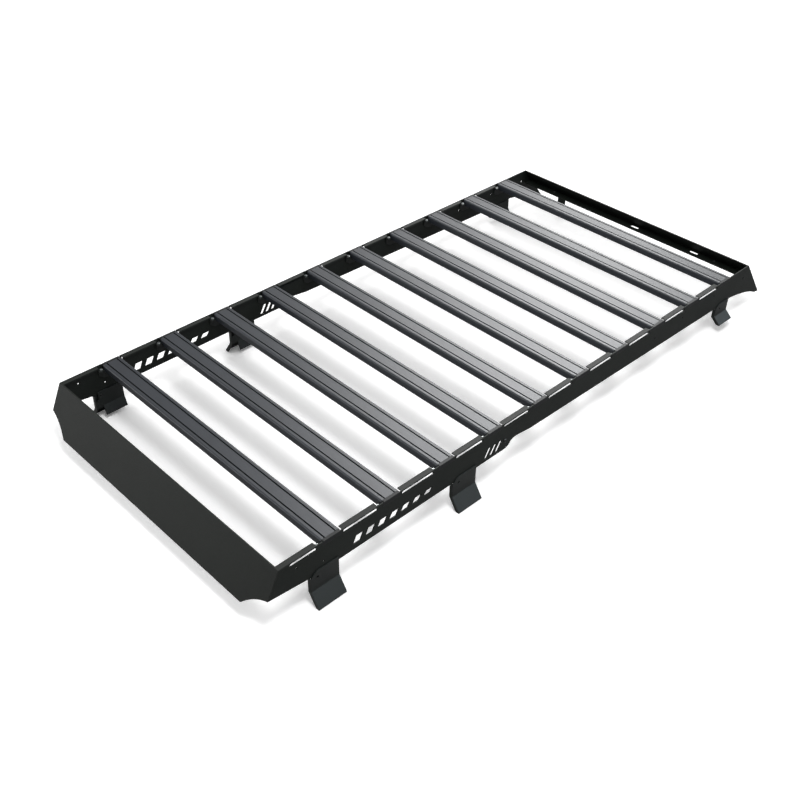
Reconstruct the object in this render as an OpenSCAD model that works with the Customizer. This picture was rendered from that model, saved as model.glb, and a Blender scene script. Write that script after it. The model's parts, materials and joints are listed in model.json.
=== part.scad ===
/* [Platform] */
// Width over the two side rails
rack_w = 1215; // [900:1:1400]
// Length of the top edge, from front fairing to rear panel
rack_l = 2480; // [2300:1:2700]
// Thickness of the folded sheet
sheet_t = 4; // [3:0.5:5]

/* [Crossbars] */
// Width of a crossbar
bar_w = 74; // [70:1:80]
// Height of a crossbar
bar_h = 27; // [25:1:30]
// Extra length of each of the first two bays
front_bay_extra = 11; // [0:0.5:14]
// Middle of the first crossbar behind the front edge
first_bar_x = 203; // [196:1:212]
// Middle of the last crossbar ahead of the rear edge
last_gap = 171; // [166:1:190]
// Radius of the long top edges
bar_edge_r = 6; // [3:0.5:8]
// Width of a groove at the top face
groove_w = 5; // [4.5:0.5:6]
// Distance between the two grooves
groove_gap = 42; // [38:1:44]
// Wall of the extruded profile
bar_wall = 2.5; // [2:0.5:3]
// Length of a moulded end cap along the bar
cap_len = 11; // [8:1:16]

/* [Side rails] */
// Depth of the rail's web in the front half
web_front = 115; // [106:1:120]
// Depth of the web just behind the step
web_step = 88; // [84:1:98]
// Depth of the web at the rear leg
web_rear = 121; // [110:1:124]
// Width of the inward flange on top
flange_w = 20; // [16:1:24]
// Height of a tie-down slot
slot_h = 12; // [10:1:14]
// Solid length between a tie-down slot and the crossbar behind it
slot_end = 22; // [22:1:30]

/* [Fairings] */
// Depth of the front fairing, measured straight down
fairing_h = 157; // [140:1:165]
// How far the fairing's foot is ahead of its top edge
fairing_lean = 74; // [60:1:80]
// Depth of the fairing at the side rails
fairing_end_h = 97; // [85:1:102]
// Width of the rising corner at each end of the fairing
fairing_corner_w = 100; // [80:1:130]
// Depth of the rear panel down to its fold
panel_h = 66; // [54:1:80]
// Depth of the rear wing tips
wing_tip_h = 180; // [170:1:186]
// How far a wing tip stands behind the top edge
wing_tip_x = 141; // [132:1:150]
// Width of the flange folded forward under the rear panel
panel_flange_w = 52; // [40:1:60]

/* [Legs] */
// Width of the front and middle legs
leg_w = 108; // [96:1:112]
// Width of the rear legs
rear_leg_w = 84; // [78:1:90]
// Straight drop of a front or middle foot
foot_drop = 52; // [40:1:56]
// Outward reach of a front or middle foot
foot_out = 35; // [28:1:40]
// Straight drop of a rear foot
rear_foot_drop = 30; // [24:1:34]
// Outward reach of a rear foot
rear_foot_out = 33; // [26:1:36]

/* [Hidden] */
bar_count = 10;
front_bars = 4;
long_bays = 2;
$fn = 48;

// Heights above the floor on which the front and middle feet stand
bend_below_web = 59;
rear_bend_below_web = 37;
leg_bend = web_front + bend_below_web;
rear_leg_bend = web_rear + rear_bend_below_web;
top_z = leg_bend + foot_drop;
middle_x = (rack_l + wing_tip_x - fairing_lean) / 2;

// Places along the rack
bar_pitch = (rack_l - first_bar_x - last_gap - long_bays * front_bay_extra) / (bar_count - 1);
bay_clear = bar_pitch - bar_w;
function bar_x(n) = first_bar_x + (n - 1) * bar_pitch + min(n - 1, long_bays) * front_bay_extra;
function bay_x(n) = (bar_x(n) + bar_x(n + 1)) / 2;
function bay_l(n) = bar_x(n + 1) - bar_x(n) - bar_w;
splice_x = bay_x(front_bars);
front_leg_back = 35;
middle_leg_back = 29;
rear_leg_ahead = 6;
leg_xs = [first_bar_x - front_leg_back, bay_x(3) - middle_leg_back, bar_x(bar_count) + rear_leg_ahead];
leg_ws = [leg_w, leg_w, rear_leg_w];
leg_bends = [leg_bend, leg_bend, rear_leg_bend];
leg_tops = [web_front, web_front, web_rear];
foot_drops = [foot_drop, foot_drop, rear_foot_drop];
foot_outs = [foot_out, foot_out, rear_foot_out];

// Front edge and step of the rail
fairing_slope = fairing_lean / fairing_h;
fairing_angle = atan(fairing_slope);
step_back = 70;
step_x = splice_x - step_back;
step_run = 68;
step_rest = 70;
step_rest_drop = 9;

// Curved rear wing, from the rear leg to its blunt tip
wing_slope = wing_tip_x / wing_tip_h;
wing_angle = atan(wing_slope);
wing_start_gap = 12;
wing_start_x = leg_xs[2] + rear_leg_w / 2 + wing_start_gap;
wing_start_h = 110;
wing_pull_x = 48;
wing_pull_h = 24;
heel_w = 36;
heel_rise = 7;
wing_heel_x = rack_l + wing_tip_x - heel_w;
wing_heel_h = wing_tip_h - heel_rise;

// Folded return that closes the fairing's end on the rail
return_w = 40;
return_h = fairing_end_h;

// Tie-down slots and small holes
slot_top = sheet_t + 1;
slot_start = 6;
first_slot_start = 42;
first_slot_end = first_bar_x - bar_w / 2 - slot_end;
hole_r = 3.5;
vent_h = 30;
vent_h_last = 18;
vent_lean = 14;
vent_w = 30;
vent_gap = 20;
vent_after_bar = 80;
vent_first_x = first_bar_x + vent_after_bar;
vent_count = 7;
vent_z = 78;
mark_before_splice = 166;
mark_first_x = splice_x - mark_before_splice;
mark_pitch = 27;
mark_count = 3;
mark_w = 14;
mark_h = 38;
mark_drop = 6;
mark_lean = 22;

// Slots and tab of the rear panel's flange
panel_slot_pitch = 312;
panel_slot_l = 42;
panel_slot_w = 16;
panel_slot_shift = 24;
panel_tab_y = 985;
panel_tab_w = 42;
panel_tab_h = 34;

// Splice plates, brackets and legs
tab_l = 19;
splice_gap = 6;
splice_start = bar_x(front_bars) + bar_w / 2 + splice_gap;
splice_len = bay_clear - 2 * splice_gap - tab_l;
splice_top = slot_top + slot_h + 3;
splice_h = 62;
bracket_w = 50;
bracket_leg = 30;
tab_w = 18;
tab_z = 16;
cap_seat = 17;
notch_front = 23;
notch_rear = 4;
plate_lap = 17;
plate_chamfer = 12;
leg_lip = 10;
hole_inset = 24;
hole_below_web = 8;
leg_hole_r = 4.5;
inner_lap = 9;
inner_front = 13;
inner_extra = 6;
inner_drop = 38;
inner_in = 14;
inner_raise = 3;
lug_h = 31;
lug_round = 5;

colour_sheet = [0.13, 0.14, 0.13];
colour_bar = [0.22, 0.23, 0.25];
colour_cap = [0.06, 0.06, 0.06];
colour_leg = [0.15, 0.16, 0.17];

// Unit vector and right-hand normal of a run from a to b
function run_dir(a, b) = (b - a) / norm(b - a);
function right_of(d) = [d[1], -d[0]];

// Corner of the parallel line at distance t on the right of a folded path
function mitre(path, i, t) =
    let (
        last = len(path) - 1,
        into = i == 0 ? run_dir(path[0], path[1]) : run_dir(path[i - 1], path[i]),
        out = i == last ? into : run_dir(path[i], path[i + 1]),
        sum = right_of(into) + right_of(out)
    )
    path[i] + sum * (2 * t / (sum * sum));

// Outline of a sheet folded along a path
module folded(path, t) {
    back = [for (i = [len(path) - 1 : -1 : 0]) mitre(path, i, t)];
    polygon(concat(path, back));
}

// Points of a curve from a to c that is pulled toward b
function curve(a, b, c, steps = 10) = [
    for (i = [0 : steps])
        let (s = i / steps)
        a * (1 - s) * (1 - s) + b * 2 * s * (1 - s) + c * s * s
];

// A 2D outline in X and height, as a plate standing in Y from 0 to t
module side_plate(t) {
    translate([0, t, 0])
        rotate([90, 0, 0])
            linear_extrude(t)
                children();
}

// A 2D outline in Y and height, extruded in X about x
module cross_plate(x, w) {
    translate([x - w / 2, 0, 0])
        rotate([90, 0, 90])
            linear_extrude(w)
                children();
}

// Puts a piece drawn from the left front top corner into the rack's frame,
// and mirrors it for the right side
module on_rack(right = false) {
    translate([-middle_x, 0, top_z])
        mirror([0, right ? 1 : 0, 0])
            translate([0, -rack_w / 2, 0])
                children();
}

module slot_2d(length, height) {
    for (s = [-1, 1])
        translate([s * (length - height) / 2, 0])
            circle(height / 2);
    square([length - height, height], center = true);
}

module slanted_2d(w, h, lean) {
    polygon([[0, -h / 2], [w, -h / 2], [w + lean, h / 2], [lean, h / 2]]);
}

// Edge of the folded return, from its wide top to the lower corner
function return_edge() = curve(
    [return_w, 0],
    [return_w * 0.2, -return_h * 0.1],
    [-fairing_slope * return_h, -return_h]
);

module return_2d() {
    polygon(concat([[0, 0]], return_edge()));
}

// Lower edge of the rear wing, from the rail to the tip
function wing_curve() = curve(
    [wing_start_x, -wing_start_h],
    [(wing_start_x + wing_heel_x) / 2 + wing_pull_x, -wing_start_h - wing_pull_h],
    [wing_heel_x, -wing_heel_h]
);

module web_front_2d() {
    polygon(concat(
        [[0, 0]],
        [[-fairing_slope * fairing_end_h, -fairing_end_h]],
        [[leg_xs[0] - leg_w / 2, -web_front]],
        curve(
            [step_x, -web_front],
            [step_x + step_run * 0.4, -web_front],
            [step_x + step_run / 2, -(web_front + web_step) / 2]
        ),
        curve(
            [step_x + step_run / 2, -(web_front + web_step) / 2],
            [step_x + step_run * 0.6, -web_step],
            [step_x + step_run, -web_step]
        ),
        [[splice_x, -web_step], [splice_x, 0]]
    ));
}

module web_rear_2d() {
    polygon(concat(
        [[splice_x, 0], [splice_x, -web_step], [splice_x + step_rest, -web_step - step_rest_drop]],
        [[leg_xs[2] + rear_leg_w / 2, -web_rear]],
        wing_curve(),
        [[rack_l + wing_tip_x, -wing_tip_h], [rack_l, 0]]
    ));
}

// Room in the web and flange for each crossbar end and the tab ahead of it
module bar_notches() {
    for (n = [1 : bar_count]) {
        translate([bar_x(n) - bar_w / 2, -1, -cap_seat])
            cube([bar_w, flange_w + 2, cap_seat + 1]);
        translate([bar_x(n) - bar_w / 2 - notch_front, sheet_t, -sheet_t - 1])
            cube([bar_w + notch_front + notch_rear, flange_w, sheet_t + 2]);
    }
}

module web_cut(x, z) {
    translate([x, sheet_t + 1, z])
        rotate([90, 0, 0])
            linear_extrude(sheet_t + 2)
                children();
}

module tie_down_slots(right) {
    slot_z = -slot_top - slot_h / 2;
    web_cut((first_slot_start + first_slot_end) / 2, slot_z)
        slot_2d(first_slot_end - first_slot_start, slot_h);
    for (n = [1 : bar_count - 1])
        if (!(right && n == front_bars))
            web_cut(bay_x(n) + (slot_start - slot_end) / 2, slot_z)
                slot_2d(bay_l(n) - slot_start - slot_end, slot_h);
}

module small_holes() {
    places = [
        [first_bar_x - 138, -36],
        [first_bar_x - 37, -80],
        [splice_x - 61, -78],
        [bar_x(8) - 12, -60],
        [bar_x(9) - 61, -49],
        [bar_x(bar_count) - 76, -42]
    ];
    for (at = places)
        web_cut(at[0], at[1]) circle(hole_r);
    web_cut(rack_l - 28, -48) circle(hole_r + 1);
}

module vents() {
    for (i = [0 : vent_count - 1])
        web_cut(vent_first_x + i * (vent_w + vent_gap), -vent_z)
            slanted_2d(vent_w, vent_h + (vent_h_last - vent_h) * i / (vent_count - 1), vent_lean);
    for (i = [0 : mark_count - 1])
        web_cut(mark_first_x + i * mark_pitch, -vent_z - mark_drop)
            slanted_2d(mark_w, mark_h, mark_lean);
}

module rail_flange(x0, x1) {
    translate([x0, 0, -sheet_t])
        cube([x1 - x0, flange_w, sheet_t]);
}

module side_rail_front(right) {
    color(colour_sheet)
        on_rack(right)
                difference() {
                    union() {
                        side_plate(sheet_t) web_front_2d();
                        rail_flange(sheet_t / cos(fairing_angle), splice_x);
                    }
                    fairing_slab();
                    side_plate(sheet_t) return_2d();
                    bar_notches();
                    tie_down_slots(right);
                    small_holes();
                    vents();
                }
}

module side_rail_rear(right) {
    color(colour_sheet)
        on_rack(right)
                difference() {
                    union() {
                        side_plate(sheet_t) web_rear_2d();
                        rail_flange(splice_x, bar_x(bar_count));
                    }
                    bar_notches();
                    tie_down_slots(right);
                    small_holes();
                }
}

// Sloping sheet of the front fairing as a slab over the full width
module fairing_slab() {
    run = sheet_t / cos(fairing_angle);
    translate([0, rack_w + 1, 0])
        rotate([90, 0, 0])
            linear_extrude(rack_w + 2)
                polygon([
                    [0, 0], [run, 0],
                    [run - fairing_lean, -fairing_h], [-fairing_lean, -fairing_h]
                ]);
}

// Front view of the fairing, with its two rising corners
module fairing_front_2d() {
    rise = curve(
        [0, -fairing_end_h],
        [fairing_corner_w * 0.55, -fairing_h + (fairing_h - fairing_end_h) * 0.78],
        [fairing_corner_w, -fairing_h]
    );
    last = len(rise) - 1;
    polygon(concat(
        [[0, 0]],
        rise,
        [for (i = [last : -1 : 0]) [rack_w - rise[i][0], rise[i][1]]],
        [[rack_w, 0]]
    ));
}

module front_fairing() {
    color(colour_sheet)
        on_rack()
            union() {
                intersection() {
                    fairing_slab();
                    translate([-fairing_lean - 1, 0, 0])
                        rotate([90, 0, 90])
                            linear_extrude(fairing_lean + 2 * sheet_t)
                                fairing_front_2d();
                }
                side_plate(sheet_t) return_2d();
                translate([0, rack_w - sheet_t, 0])
                    side_plate(sheet_t) return_2d();
            }
}

module rear_panel() {
    run = sheet_t / cos(wing_angle);
    fold_x = rack_l + wing_slope * panel_h;
    front_x = fold_x - panel_flange_w;
    slot_x = fold_x - panel_flange_w / 2;
    slot_y = rack_w / 2 - panel_slot_shift;
    color(colour_sheet)
        on_rack()
            difference() {
                union() {
                    translate([0, rack_w - sheet_t, 0])
                        rotate([90, 0, 0])
                            linear_extrude(rack_w - 2 * sheet_t)
                                polygon([
                                    [rack_l - run, 0], [rack_l, 0],
                                    [fold_x, -panel_h],
                                    [front_x, -panel_h],
                                    [front_x, -panel_h + sheet_t],
                                    [fold_x - run - sheet_t * wing_slope, -panel_h + sheet_t]
                                ]);
                    translate([front_x, panel_tab_y - panel_tab_w / 2, -panel_h - panel_tab_h])
                        cube([sheet_t, panel_tab_w, panel_tab_h + sheet_t]);
                }
                for (k = [-1, 0])
                    translate([slot_x, slot_y + k * panel_slot_pitch, -panel_h - 1])
                        rotate([0, 0, 90])
                            linear_extrude(sheet_t + 2)
                                slot_2d(panel_slot_l, panel_slot_w);
            }
}

module splice_plate(right) {
    color(colour_sheet)
        on_rack(right)
            translate([splice_start, sheet_t, -splice_top - splice_h])
                cube([splice_len, sheet_t, splice_h]);
}

module tee_slot_2d() {
    lip = 2.5;
    tee_w = 11;
    tee_h = 5.5;
    translate([-groove_w / 2, -lip - 1])
        square([groove_w, lip + 2]);
    translate([-tee_w / 2, -lip - tee_h])
        square([tee_w, tee_h]);
}

// Outer form of a crossbar, with round top edges, its top face at zero
module bar_outline_2d(r) {
    union() {
        for (s = [-1, 1])
            translate([s * (bar_w / 2 - r), -r])
                circle(r);
        translate([-bar_w / 2 + r, -bar_h])
            square([bar_w - 2 * r, bar_h]);
        translate([-bar_w / 2, -bar_h])
            square([bar_w, bar_h - r]);
    }
}

// Section of the extrusion: two tee slots on top and three hollow chambers
module bar_section_2d() {
    chamber_top = 8 + bar_wall;
    mid_w = groove_gap - 11 - 2 * bar_wall;
    side_w = (bar_w - groove_gap - 11) / 2 - 2 * bar_wall;
    difference() {
        bar_outline_2d(bar_edge_r);
        for (s = [-1, 1])
            translate([s * groove_gap / 2, 0])
                tee_slot_2d();
        translate([-bar_w / 2 + bar_wall, -bar_h + bar_wall])
            square([bar_w - 2 * bar_wall, bar_h - bar_wall - chamber_top]);
        translate([-mid_w / 2, -chamber_top - 1])
            square([mid_w, chamber_top + 1 - bar_wall]);
        for (s = [-1, 1])
            translate([s * (bar_w / 2 - bar_wall - side_w / 2) - side_w / 2, -chamber_top - 1])
                square([side_w, chamber_top + 1 - bar_edge_r]);
    }
}

module crossbar(n) {
    color(colour_bar)
        on_rack()
            translate([bar_x(n), rack_w - cap_len, 0])
                rotate([90, 0, 0])
                    linear_extrude(rack_w - 2 * cap_len)
                        bar_section_2d();
}

module end_caps(right) {
    color(colour_cap)
        on_rack(right)
                for (n = [1 : bar_count])
                    difference() {
                        translate([bar_x(n), cap_len, 0])
                            rotate([90, 0, 0])
                                linear_extrude(cap_len)
                                    bar_outline_2d(bar_edge_r);
                        translate([bar_x(n) - bar_w / 2 - 1, -1, -bar_h - 1])
                            cube([bar_w + 2, sheet_t + 1, bar_h + 1 - cap_seat]);
                    }
}

// Folded angles that carry the crossbars, each with a bolted tab ahead of the bar
module bar_brackets(right) {
    color(colour_leg)
        on_rack(right)
                for (n = [1 : bar_count]) {
                    front = bar_x(n) - bar_w / 2;
                    cross_plate(bar_x(n), bracket_w)
                        folded(
                            [
                                [sheet_t, -bar_h - bracket_leg],
                                [sheet_t, -bar_h],
                                [sheet_t + bracket_leg, -bar_h]
                            ],
                            sheet_t
                        );
                    translate([0, sheet_t, 0])
                        side_plate(sheet_t)
                            polygon([
                                [front - tab_l - 1, -bar_h - bracket_leg / 2],
                                [front - tab_l - 1, -tab_z],
                                [front - 1, -tab_z],
                                [front - 1, -bar_h],
                                [bar_x(n) - bracket_w / 2 + 1, -bar_h],
                                [bar_x(n) - bracket_w / 2 + 1, -bar_h - bracket_leg],
                                [front, -bar_h - bracket_leg]
                            ]);
                    translate([front - tab_l - 1, sheet_t, -tab_z - sheet_t])
                        cube([tab_l, tab_w, sheet_t]);
                }
}

// Bolt hole through both plates of a leg, just below the rail
module leg_hole(i) {
    translate([leg_xs[i] - leg_ws[i] / 2 + hole_inset, 3 * sheet_t, -leg_tops[i] - hole_below_web])
        rotate([90, 0, 0])
            cylinder(r = leg_hole_r, h = 5 * sheet_t);
}

// Fold line of an outer leg plate, from its top edge to the foot
function leg_path(i) = [
    [0, -leg_tops[i] + plate_lap],
    [0, -leg_bends[i]],
    [-foot_outs[i], -leg_bends[i] - foot_drops[i]]
];

// Lip folded inward along the front edge of an outer leg plate
module leg_lip_2d(i) {
    path = leg_path(i);
    back = [for (k = [2 : -1 : 0]) path[k]];
    intersection() {
        union() {
            folded(path, sheet_t);
            folded(back, leg_lip);
        }
        translate([-rack_w / 2, -leg_bends[i] - foot_drops[i]])
            square([rack_w, leg_bends[i] + foot_drops[i] - leg_tops[i] - 2]);
    }
}

// Outer leg plate: upright on the rail, then folded outward to the foot
module leg_foot(right, i) {
    front = leg_xs[i] - leg_ws[i] / 2;
    top = -leg_tops[i] + plate_lap;
    color(colour_leg)
        on_rack(right)
                union() {
                    difference() {
                        cross_plate(leg_xs[i], leg_ws[i])
                            folded(leg_path(i), sheet_t);
                        translate([0, -2 * sheet_t, 0])
                            side_plate(3 * sheet_t)
                                polygon([
                                    [front - 1, top + 1],
                                    [front + 2 * plate_chamfer, top + 1],
                                    [front + plate_chamfer, top - plate_chamfer / 2],
                                    [front, -leg_tops[i]],
                                    [front - 1, -leg_tops[i]]
                                ]);
                        leg_hole(i);
                    }
                    cross_plate(front - sheet_t / 2, sheet_t)
                        leg_lip_2d(i);
                }
}

// Inner leg bracket: upright inside the rail, folded inward, with a lug ahead of it
module leg_bracket(right, i) {
    bend = leg_bends[i] - inner_raise;
    drop = foot_drops[i] * inner_drop / foot_drop;
    front = leg_xs[i] - leg_ws[i] / 2;
    wide = leg_ws[i] + inner_extra - 2 * inner_front;
    color(colour_leg)
        on_rack(right)
                difference() {
                    union() {
                        cross_plate(front + 2 * inner_front + wide / 2, wide)
                            folded(
                                [
                                    [sheet_t + inner_in, -bend - drop],
                                    [sheet_t, -bend],
                                    [sheet_t, -leg_tops[i] + inner_lap]
                                ],
                                sheet_t
                            );
                        translate([0, sheet_t, 0])
                            side_plate(sheet_t)
                                polygon([
                                    [front + 2 * inner_front + 1, -leg_tops[i] + inner_lap],
                                    [front + inner_front, -leg_tops[i] + inner_lap],
                                    [front + inner_front, -bend + lug_h],
                                    [front + lug_round, -bend + lug_h],
                                    [front, -bend + lug_h - 2 * lug_round],
                                    [front, -bend],
                                    [front + lug_round, -bend - lug_round],
                                    [front + 2 * inner_front + 1, -bend - lug_round]
                                ]);
                    }
                    leg_hole(i);
                }
}

sides = ["left", "right"];

front_fairing();
rear_panel();
for (right = [false, true]) {
    s = right ? "right" : "left";
    side_rail_front(right);
    side_rail_rear(right);
    splice_plate(right);
    end_caps(right);
    bar_brackets(right);
    for (i = [0 : 2]) {
        leg_foot(right, i);
        leg_bracket(right, i);
    }
}
for (n = [1 : bar_count])
    crossbar(n);
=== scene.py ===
import bpy
import json
import math
from mathutils import Matrix, Vector


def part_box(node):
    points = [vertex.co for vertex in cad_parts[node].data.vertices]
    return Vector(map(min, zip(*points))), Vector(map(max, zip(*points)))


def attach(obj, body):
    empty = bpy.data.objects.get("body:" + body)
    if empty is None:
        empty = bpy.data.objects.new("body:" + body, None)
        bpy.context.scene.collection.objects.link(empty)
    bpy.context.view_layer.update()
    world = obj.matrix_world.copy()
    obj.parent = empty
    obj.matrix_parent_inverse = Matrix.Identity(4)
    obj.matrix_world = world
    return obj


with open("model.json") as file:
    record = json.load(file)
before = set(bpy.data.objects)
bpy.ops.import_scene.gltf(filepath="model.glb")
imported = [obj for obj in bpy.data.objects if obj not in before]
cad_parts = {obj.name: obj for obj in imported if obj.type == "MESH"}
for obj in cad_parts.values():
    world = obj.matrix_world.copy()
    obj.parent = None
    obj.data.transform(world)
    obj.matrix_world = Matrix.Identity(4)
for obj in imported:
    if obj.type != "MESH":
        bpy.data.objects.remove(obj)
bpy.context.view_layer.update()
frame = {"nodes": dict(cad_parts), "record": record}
nodes = frame["nodes"]

# Camera, solved from the photograph's corners, crossbar ends and grooves
CAMERA_AT = Vector((-2.4641, -2.3114, 2.4398))
CAMERA_AZIMUTH = math.radians(-44.328)
CAMERA_ELEVATION = math.radians(37.861)
CAMERA_ROLL = math.radians(0.762)
FOCAL_PIXELS = 1051.4
IMAGE_PIXELS = 800
SENSOR_MM = 36.0
CLIP_END = 100

# World light for matt surfaces, and for what the coats mirror
WORLD_LIGHT = 0.60
WORLD_MIRRORED = 0.38
SEEN_WHITE = 1.0

# Floor: its half width, and its colours in the camera, for bounced light and in reflections
FLOOR_EDGE = 30.0
FLOOR_SEEN = (1.2, 1.2, 1.2)
FLOOR_UNSEEN = (0.20, 0.20, 0.20)
FLOOR_MIRRORED = (0.36, 0.36, 0.36)

# Only the camera sees the floor's glow, which grows from near the rack's footprint outward
FLOOR_GLOW = 0.10
FLOOR_GLOW_FAR = 0.4
FOOTPRINT = (1.3, 0.62, 0.0)
GLOW_START, GLOW_END = 0.05, 0.6

# Cards stand this far from the frame's middle and face a place at the platform's height
CARD_AWAY = 6.0
CARD_TARGET = (0, 0, 0.2)
WHITE = (1, 1, 1)
PALE_BLUE = (0.80, 0.92, 1.0)

# Powder coat: size of its clouds, share of noise in use, swing of its roughness, strength of its grain
CLOUD_SCALE, CLOUD_DETAIL = 9.0, 3.0
GRAIN_DETAIL = 2.0
NOISE_LOW, NOISE_HIGH = 0.3, 0.7
ROUGH_SWING = 0.06
GRAIN_STRENGTH = 0.35
BEVEL_SAMPLES = 6

# Bolt plating
ZINC_DARK = (0.34, 0.36, 0.36)
ZINC_LIGHT = (0.44, 0.46, 0.46)
ZINC_SMOOTH, ZINC_ROUGH = 0.28, 0.42
ZINC_GRAIN = 500

# Sockets of Blender's colour mix
MIX_FACTOR, MIX_FIRST, MIX_SECOND, MIX_RESULT = 0, 6, 7, 2

# Bolt heads: outlines as shares of radius and height, sides, and the hexagon socket's shares
FLAT_HEAD = [(1.0, 0.0), (1.0, 0.86), (0.97, 0.96), (0.9, 1.0), (0.6, 1.0)]
DOMED_HEAD = [(1.0, 0.0), (1.0, 0.18), (0.95, 0.45), (0.84, 0.7), (0.7, 0.9), (0.58, 1.0)]
BOLT_SIDES = 36
HEX_SIDES = 6
SOCKET_REACH = 0.46
SOCKET_DEPTH = 0.55

# Radius and height of each kind of bolt head
TAB_BOLT_SIZE = (0.0058, 0.0040)
SPLICE_BOLT_SIZE = (0.0080, 0.0042)
FLANGE_BOLT_SIZE = (0.0065, 0.0036)

# Tab bolts: ahead of a crossbar's front edge, in from the rail's outer face
BAR_COUNT = 10
TAB_BOLT_AHEAD = 0.0105
TAB_BOLT_IN = 0.013

# Splice bolts: ahead of the rail's joint, below the platform's top
SPLICE_BOLT_AHEAD = 0.061
SPLICE_BOLT_DROP = 0.078

# Rear flange bolts: ahead of the panel's fold, and the flange's top below the platform's
FLANGE_BOLT_AHEAD = 0.026
FLANGE_DROP = 0.062
FLANGE_BOLT_Y = {"left": -0.438, "right": 0.4425}


def make_camera():
    """The photograph's view, with no shift."""
    data = bpy.data.cameras.new("camera")
    data.sensor_width = SENSOR_MM
    data.lens = FOCAL_PIXELS * SENSOR_MM / IMAGE_PIXELS
    data.clip_end = CLIP_END
    cam = bpy.data.objects.new("camera", data)
    flat = math.cos(CAMERA_ELEVATION)
    back = Vector((
        math.sin(CAMERA_AZIMUTH) * flat,
        -math.cos(CAMERA_AZIMUTH) * flat,
        math.sin(CAMERA_ELEVATION),
    ))
    level = Vector((math.cos(CAMERA_AZIMUTH), math.sin(CAMERA_AZIMUTH), 0))
    steep = back.cross(level)
    right = level * math.cos(CAMERA_ROLL) + steep * math.sin(CAMERA_ROLL)
    up = back.cross(right)
    turn = Matrix((right, up, back)).transposed().to_4x4()
    cam.matrix_world = Matrix.Translation(CAMERA_AT) @ turn
    bpy.context.scene.collection.objects.link(cam)
    bpy.context.scene.camera = cam


def softbox(name, place, target, width, height, power, tint=WHITE):
    """A rectangular lamp at a place, turned to a target."""
    data = bpy.data.lights.new(name, "AREA")
    data.shape = "RECTANGLE"
    data.size = width
    data.size_y = height
    data.energy = power
    data.color = tint
    lamp = bpy.data.objects.new(name, data)
    lamp.location = place
    aim = Vector(target) - Vector(place)
    lamp.rotation_mode = "QUATERNION"
    lamp.rotation_quaternion = aim.to_track_quat("-Z", "Y")
    bpy.context.scene.collection.objects.link(lamp)
    return lamp


def seen_from(azimuth, elevation, away):
    """A place that far from the frame's middle, at degrees from +X towards +Y and above the floor."""
    turn, rise = math.radians(azimuth), math.radians(elevation)
    flat = math.cos(rise) * away
    return (math.cos(turn) * flat, math.sin(turn) * flat, math.sin(rise) * away)


def card(name, azimuth, elevation, width, height, power, tint=WHITE):
    """A softbox that only reflections show."""
    lamp = softbox(name, seen_from(azimuth, elevation, CARD_AWAY), CARD_TARGET, width, height, power, tint)
    lamp.visible_diffuse = False


class Shader:
    """A node material, with short calls for the nodes that it uses."""

    def __init__(self, name):
        self.material = bpy.data.materials.new(name)
        self.material.use_nodes = True
        self.tree = self.material.node_tree
        self.bsdf = self.tree.nodes["Principled BSDF"]
        self.out = self.tree.nodes["Material Output"]

    def node(self, kind, operation=None):
        made = self.tree.nodes.new(kind)
        if operation:
            made.operation = operation
        return made

    def link(self, a, b):
        self.tree.links.new(a, b)

    def noise(self, scale, detail=GRAIN_DETAIL):
        place = self.node("ShaderNodeTexCoord")
        grain = self.node("ShaderNodeTexNoise")
        grain.inputs["Scale"].default_value = scale
        grain.inputs["Detail"].default_value = detail
        self.link(place.outputs["Object"], grain.inputs["Vector"])
        return grain.outputs["Fac"]

    def ramp(self, value, low, high, start=NOISE_LOW, end=NOISE_HIGH):
        made = self.node("ShaderNodeMapRange")
        made.inputs["From Min"].default_value = start
        made.inputs["From Max"].default_value = end
        made.inputs["To Min"].default_value = low
        made.inputs["To Max"].default_value = high
        self.link(value, made.inputs["Value"])
        return made.outputs["Result"]

    def mix(self, value, first, second):
        made = self.node("ShaderNodeMix")
        made.data_type = "RGBA"
        made.inputs[MIX_FIRST].default_value = (*first, 1)
        made.inputs[MIX_SECOND].default_value = (*second, 1)
        self.link(value, made.inputs[MIX_FACTOR])
        return made.outputs[MIX_RESULT]

    def bump(self, value, depth, rounded):
        """Grain of that depth, over edges rounded to that radius."""
        soft = self.node("ShaderNodeBevel")
        soft.samples = BEVEL_SAMPLES
        soft.inputs["Radius"].default_value = rounded
        made = self.node("ShaderNodeBump")
        made.inputs["Strength"].default_value = GRAIN_STRENGTH
        made.inputs["Distance"].default_value = depth
        self.link(value, made.inputs["Height"])
        self.link(soft.outputs["Normal"], made.inputs["Normal"])
        return made.outputs["Normal"]


def coated(name, dark, light, rough, grain_scale, grain_depth, specular, rounded):
    """Powder coat: a fine orange-peel grain, a little cloudy in tone."""
    s = Shader(name)
    cloud = s.noise(CLOUD_SCALE, CLOUD_DETAIL)
    grain = s.noise(grain_scale)
    tone = s.mix(s.ramp(cloud, 0.0, 1.0), dark, light)
    s.link(tone, s.bsdf.inputs["Base Color"])
    s.link(s.ramp(grain, rough - ROUGH_SWING, rough + ROUGH_SWING), s.bsdf.inputs["Roughness"])
    s.link(s.bump(grain, grain_depth, rounded), s.bsdf.inputs["Normal"])
    s.bsdf.inputs["Specular IOR Level"].default_value = specular
    return s.material


def zinc_material():
    """Plated bolt: dull grey metal."""
    s = Shader("bolt_zinc")
    grain = s.noise(ZINC_GRAIN)
    tone = s.mix(s.ramp(grain, 0.0, 1.0), ZINC_DARK, ZINC_LIGHT)
    s.link(tone, s.bsdf.inputs["Base Color"])
    s.bsdf.inputs["Metallic"].default_value = 1.0
    s.link(s.ramp(grain, ZINC_SMOOTH, ZINC_ROUGH), s.bsdf.inputs["Roughness"])
    return s.material


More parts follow.
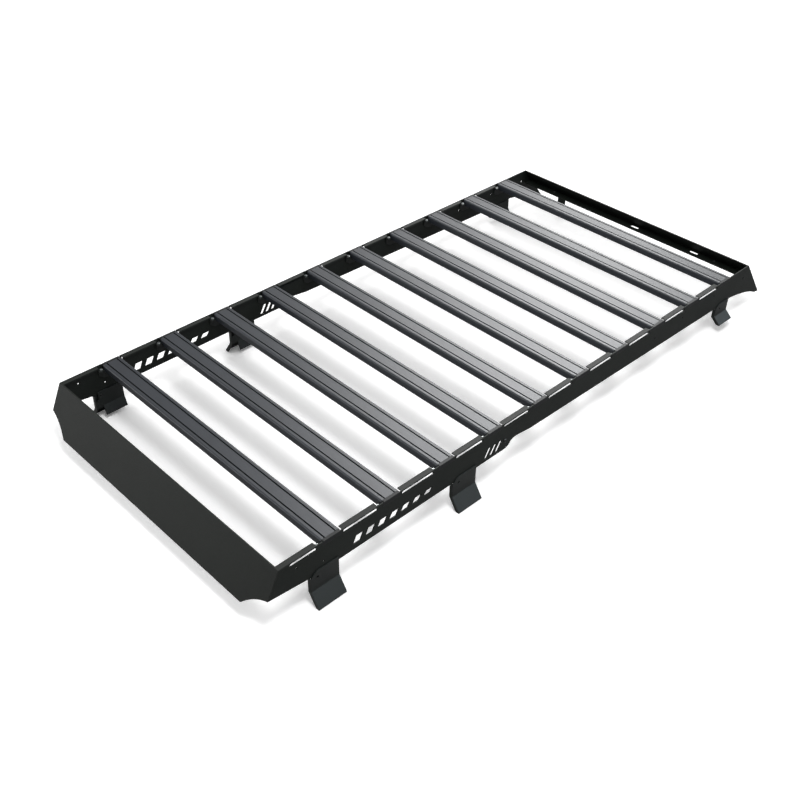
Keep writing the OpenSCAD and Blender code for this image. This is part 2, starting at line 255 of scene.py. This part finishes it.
def beyond_footprint(s):
    """Distance of a floor point from the rack's footprint, in metres."""
    place = s.node("ShaderNodeNewGeometry")
    side = s.node("ShaderNodeVectorMath", "ABSOLUTE")
    s.link(place.outputs["Position"], side.inputs[0])
    beyond = s.node("ShaderNodeVectorMath", "SUBTRACT")
    s.link(side.outputs[0], beyond.inputs[0])
    beyond.inputs[1].default_value = FOOTPRINT
    outside = s.node("ShaderNodeVectorMath", "MAXIMUM")
    s.link(beyond.outputs[0], outside.inputs[0])
    reach = s.node("ShaderNodeVectorMath", "LENGTH")
    s.link(outside.outputs[0], reach.inputs[0])
    return reach.outputs["Value"]


def floor_material():
    """White floor that keeps the object's shadow."""
    s = Shader("studio_floor")
    s.tree.nodes.remove(s.bsdf)
    path = s.node("ShaderNodeLightPath")
    unseen = s.mix(path.outputs["Is Glossy Ray"], FLOOR_UNSEEN, FLOOR_MIRRORED)
    colour = s.mix(path.outputs["Is Camera Ray"], FLOOR_UNSEEN, FLOOR_SEEN)
    s.link(unseen, colour.node.inputs[MIX_FIRST])
    matt = s.node("ShaderNodeBsdfDiffuse")
    s.link(colour, matt.inputs["Color"])
    level = s.node("ShaderNodeMath", "MULTIPLY")
    s.link(path.outputs["Is Camera Ray"], level.inputs[0])
    s.link(s.ramp(beyond_footprint(s), FLOOR_GLOW, FLOOR_GLOW_FAR, GLOW_START, GLOW_END), level.inputs[1])
    glow = s.node("ShaderNodeEmission")
    s.link(level.outputs[0], glow.inputs["Strength"])
    both = s.node("ShaderNodeAddShader")
    s.link(matt.outputs[0], both.inputs[0])
    s.link(glow.outputs[0], both.inputs[1])
    s.link(both.outputs[0], s.out.inputs["Surface"])
    return s.material


def make_floor():
    mesh = bpy.data.meshes.new("floor")
    turns = [(-1, -1), (1, -1), (1, 1), (-1, 1)]
    mesh.from_pydata([Vector((x * FLOOR_EDGE, y * FLOOR_EDGE, 0)) for x, y in turns], [], [(0, 1, 2, 3)])
    floor = bpy.data.objects.new("floor", mesh)
    mesh.materials.append(floor_material())
    bpy.context.scene.collection.objects.link(floor)


def make_world():
    """Even light, white where the camera sees it."""
    world = bpy.data.worlds.new("studio")
    world.use_nodes = True
    tree = world.node_tree
    path = tree.nodes.new("ShaderNodeLightPath")
    unseen = tree.nodes.new("ShaderNodeMapRange")
    unseen.inputs["To Min"].default_value = WORLD_LIGHT
    unseen.inputs["To Max"].default_value = WORLD_MIRRORED
    tree.links.new(path.outputs["Is Glossy Ray"], unseen.inputs["Value"])
    level = tree.nodes.new("ShaderNodeMapRange")
    tree.links.new(unseen.outputs["Result"], level.inputs["To Min"])
    level.inputs["To Max"].default_value = SEEN_WHITE
    tree.links.new(path.outputs["Is Camera Ray"], level.inputs["Value"])
    light = tree.nodes["Background"]
    light.inputs["Color"].default_value = (*WHITE, 1)
    tree.links.new(level.outputs["Result"], light.inputs["Strength"])
    bpy.context.scene.world = world


def make_lamps():
    """Two softboxes light the rack from above, and cards give its coats their sheen."""
    # The crossbars' tops mirror the rear cards, which end at the azimuth where the tops turn dark
    card("rear_card", azimuth=30, elevation=47.4, width=3.24, height=2.13, power=255)
    card("rear_card_low", azimuth=28, elevation=31.4, width=1.55, height=1.85, power=76)
    card("front_card", azimuth=146, elevation=8, width=4.0, height=2.4, power=115)
    card("side_card", azimuth=-57, elevation=36, width=4.2, height=3.4, power=245, tint=PALE_BLUE)
    softbox("top_softbox", place=(-1.2, -1.6, 4.5), target=(-0.4, 0, 0), width=1.0, height=1.0, power=76)
    softbox("ceiling", place=(0.2, 0, 5.0), target=(0, 0, 0), width=3.2, height=3.0, power=74)


def dress_nodes():
    """Gives every CAD node its finish."""
    finishes = {
        "sheet": coated(
            "sheet_coat", dark=(0.0075, 0.0100, 0.0080), light=(0.0100, 0.0130, 0.0105),
            rough=0.55, grain_scale=420, grain_depth=0.0003, specular=0.25, rounded=0.0012,
        ),
        "bar": coated(
            "bar_coat", dark=(0.019, 0.023, 0.030), light=(0.023, 0.028, 0.036),
            rough=0.40, grain_scale=600, grain_depth=0.0002, specular=0.57, rounded=0.0008,
        ),
        "cap": coated(
            "cap_plastic", dark=(0.004, 0.005, 0.0055), light=(0.006, 0.007, 0.0075),
            rough=0.5, grain_scale=800, grain_depth=0.0002, specular=0.3, rounded=0.001,
        ),
        "leg": coated(
            "leg_coat", dark=(0.0075, 0.0100, 0.0090), light=(0.0100, 0.0130, 0.0120),
            rough=0.45, grain_scale=500, grain_depth=0.0002, specular=0.4, rounded=0.0012,
        ),
    }
    slots = {row["node"]: row["material_slot"] for row in frame["record"]["subparts"]}
    for name, obj in nodes.items():
        obj.data.materials.clear()
        obj.data.materials.append(finishes[slots[name]])


def bolt_mesh(name, size, outline, finish):
    """A round head with a hexagon socket, along +Z from its seat."""
    radius, height = size
    step = 2 * math.pi / BOLT_SIDES
    half_side = math.pi / HEX_SIDES
    rings = []
    for across, up in outline:
        reach = radius * across
        rings.append([
            (reach * math.cos(step * i), reach * math.sin(step * i), height * up)
            for i in range(BOLT_SIDES)
        ])
    for up in (height, height - height * SOCKET_DEPTH):
        ring = []
        for i in range(BOLT_SIDES):
            angle = step * i
            flat = (angle % (2 * half_side)) - half_side
            reach = radius * SOCKET_REACH * math.cos(half_side) / math.cos(flat)
            ring.append((reach * math.cos(angle), reach * math.sin(angle), up))
        rings.append(ring)
    faces = []
    for r in range(len(rings) - 1):
        a, b = r * BOLT_SIDES, (r + 1) * BOLT_SIDES
        for i in range(BOLT_SIDES):
            j = (i + 1) % BOLT_SIDES
            faces.append((a + i, a + j, b + j, b + i))
    last = (len(rings) - 1) * BOLT_SIDES
    faces.append(tuple(range(last, last + BOLT_SIDES)))
    faces.append(tuple(reversed(range(BOLT_SIDES))))
    mesh = bpy.data.meshes.new(name)
    mesh.from_pydata([p for ring in rings for p in ring], [], faces)
    mesh.materials.append(finish)
    return mesh


def put(name, mesh, place, out):
    """A bolt on the body, with its axis along out."""
    piece = bpy.data.objects.new(name, mesh)
    turn = Vector(out).to_track_quat("Z", "Y").to_matrix().to_4x4()
    piece.matrix_world = Matrix.Translation(place) @ turn
    bpy.context.scene.collection.objects.link(piece)
    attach(piece, "root")


def make_bolts():
    """Heads that show: on the brackets' tabs, beside the splice and on the rear panel's flange."""
    black = coated(
        "bolt_black", dark=(0.010, 0.011, 0.012), light=(0.014, 0.015, 0.016),
        rough=0.35, grain_scale=600, grain_depth=0.0001, specular=0.5, rounded=0.0003,
    )
    tab_bolt = bolt_mesh("tab_bolt", TAB_BOLT_SIZE, FLAT_HEAD, zinc_material())
    splice_bolt = bolt_mesh("splice_bolt", SPLICE_BOLT_SIZE, DOMED_HEAD, black)
    flange_bolt = bolt_mesh("flange_bolt", FLANGE_BOLT_SIZE, DOMED_HEAD, black)
    up = (0, 0, 1)
    top_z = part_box("crossbar_1")[1].z
    fold_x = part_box("rear_panel")[1].x
    for side, out, outer in (("left", -1, 0), ("right", 1, 1)):
        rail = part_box("side_rail_%s_front" % side)
        face_y = rail[outer].y
        tab_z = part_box("bar_brackets_" + side)[1].z
        for n in range(1, BAR_COUNT + 1):
            bar_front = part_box("crossbar_%d" % n)[0].x
            place = Vector((bar_front - TAB_BOLT_AHEAD, face_y - out * TAB_BOLT_IN, tab_z))
            put("tab_bolt_%s_%d" % (side, n), tab_bolt, place, up)
        place = Vector((rail[1].x - SPLICE_BOLT_AHEAD, face_y, top_z - SPLICE_BOLT_DROP))
        put("splice_bolt_" + side, splice_bolt, place, (0, out, 0))
    for side, y in FLANGE_BOLT_Y.items():
        place = Vector((fold_x - FLANGE_BOLT_AHEAD, y, top_z - FLANGE_DROP))
        put("flange_bolt_" + side, flange_bolt, place, up)


make_camera()
make_floor()
make_world()
make_lamps()
dress_nodes()
make_bolts()

bpy.context.scene.view_settings.view_transform = "Standard"
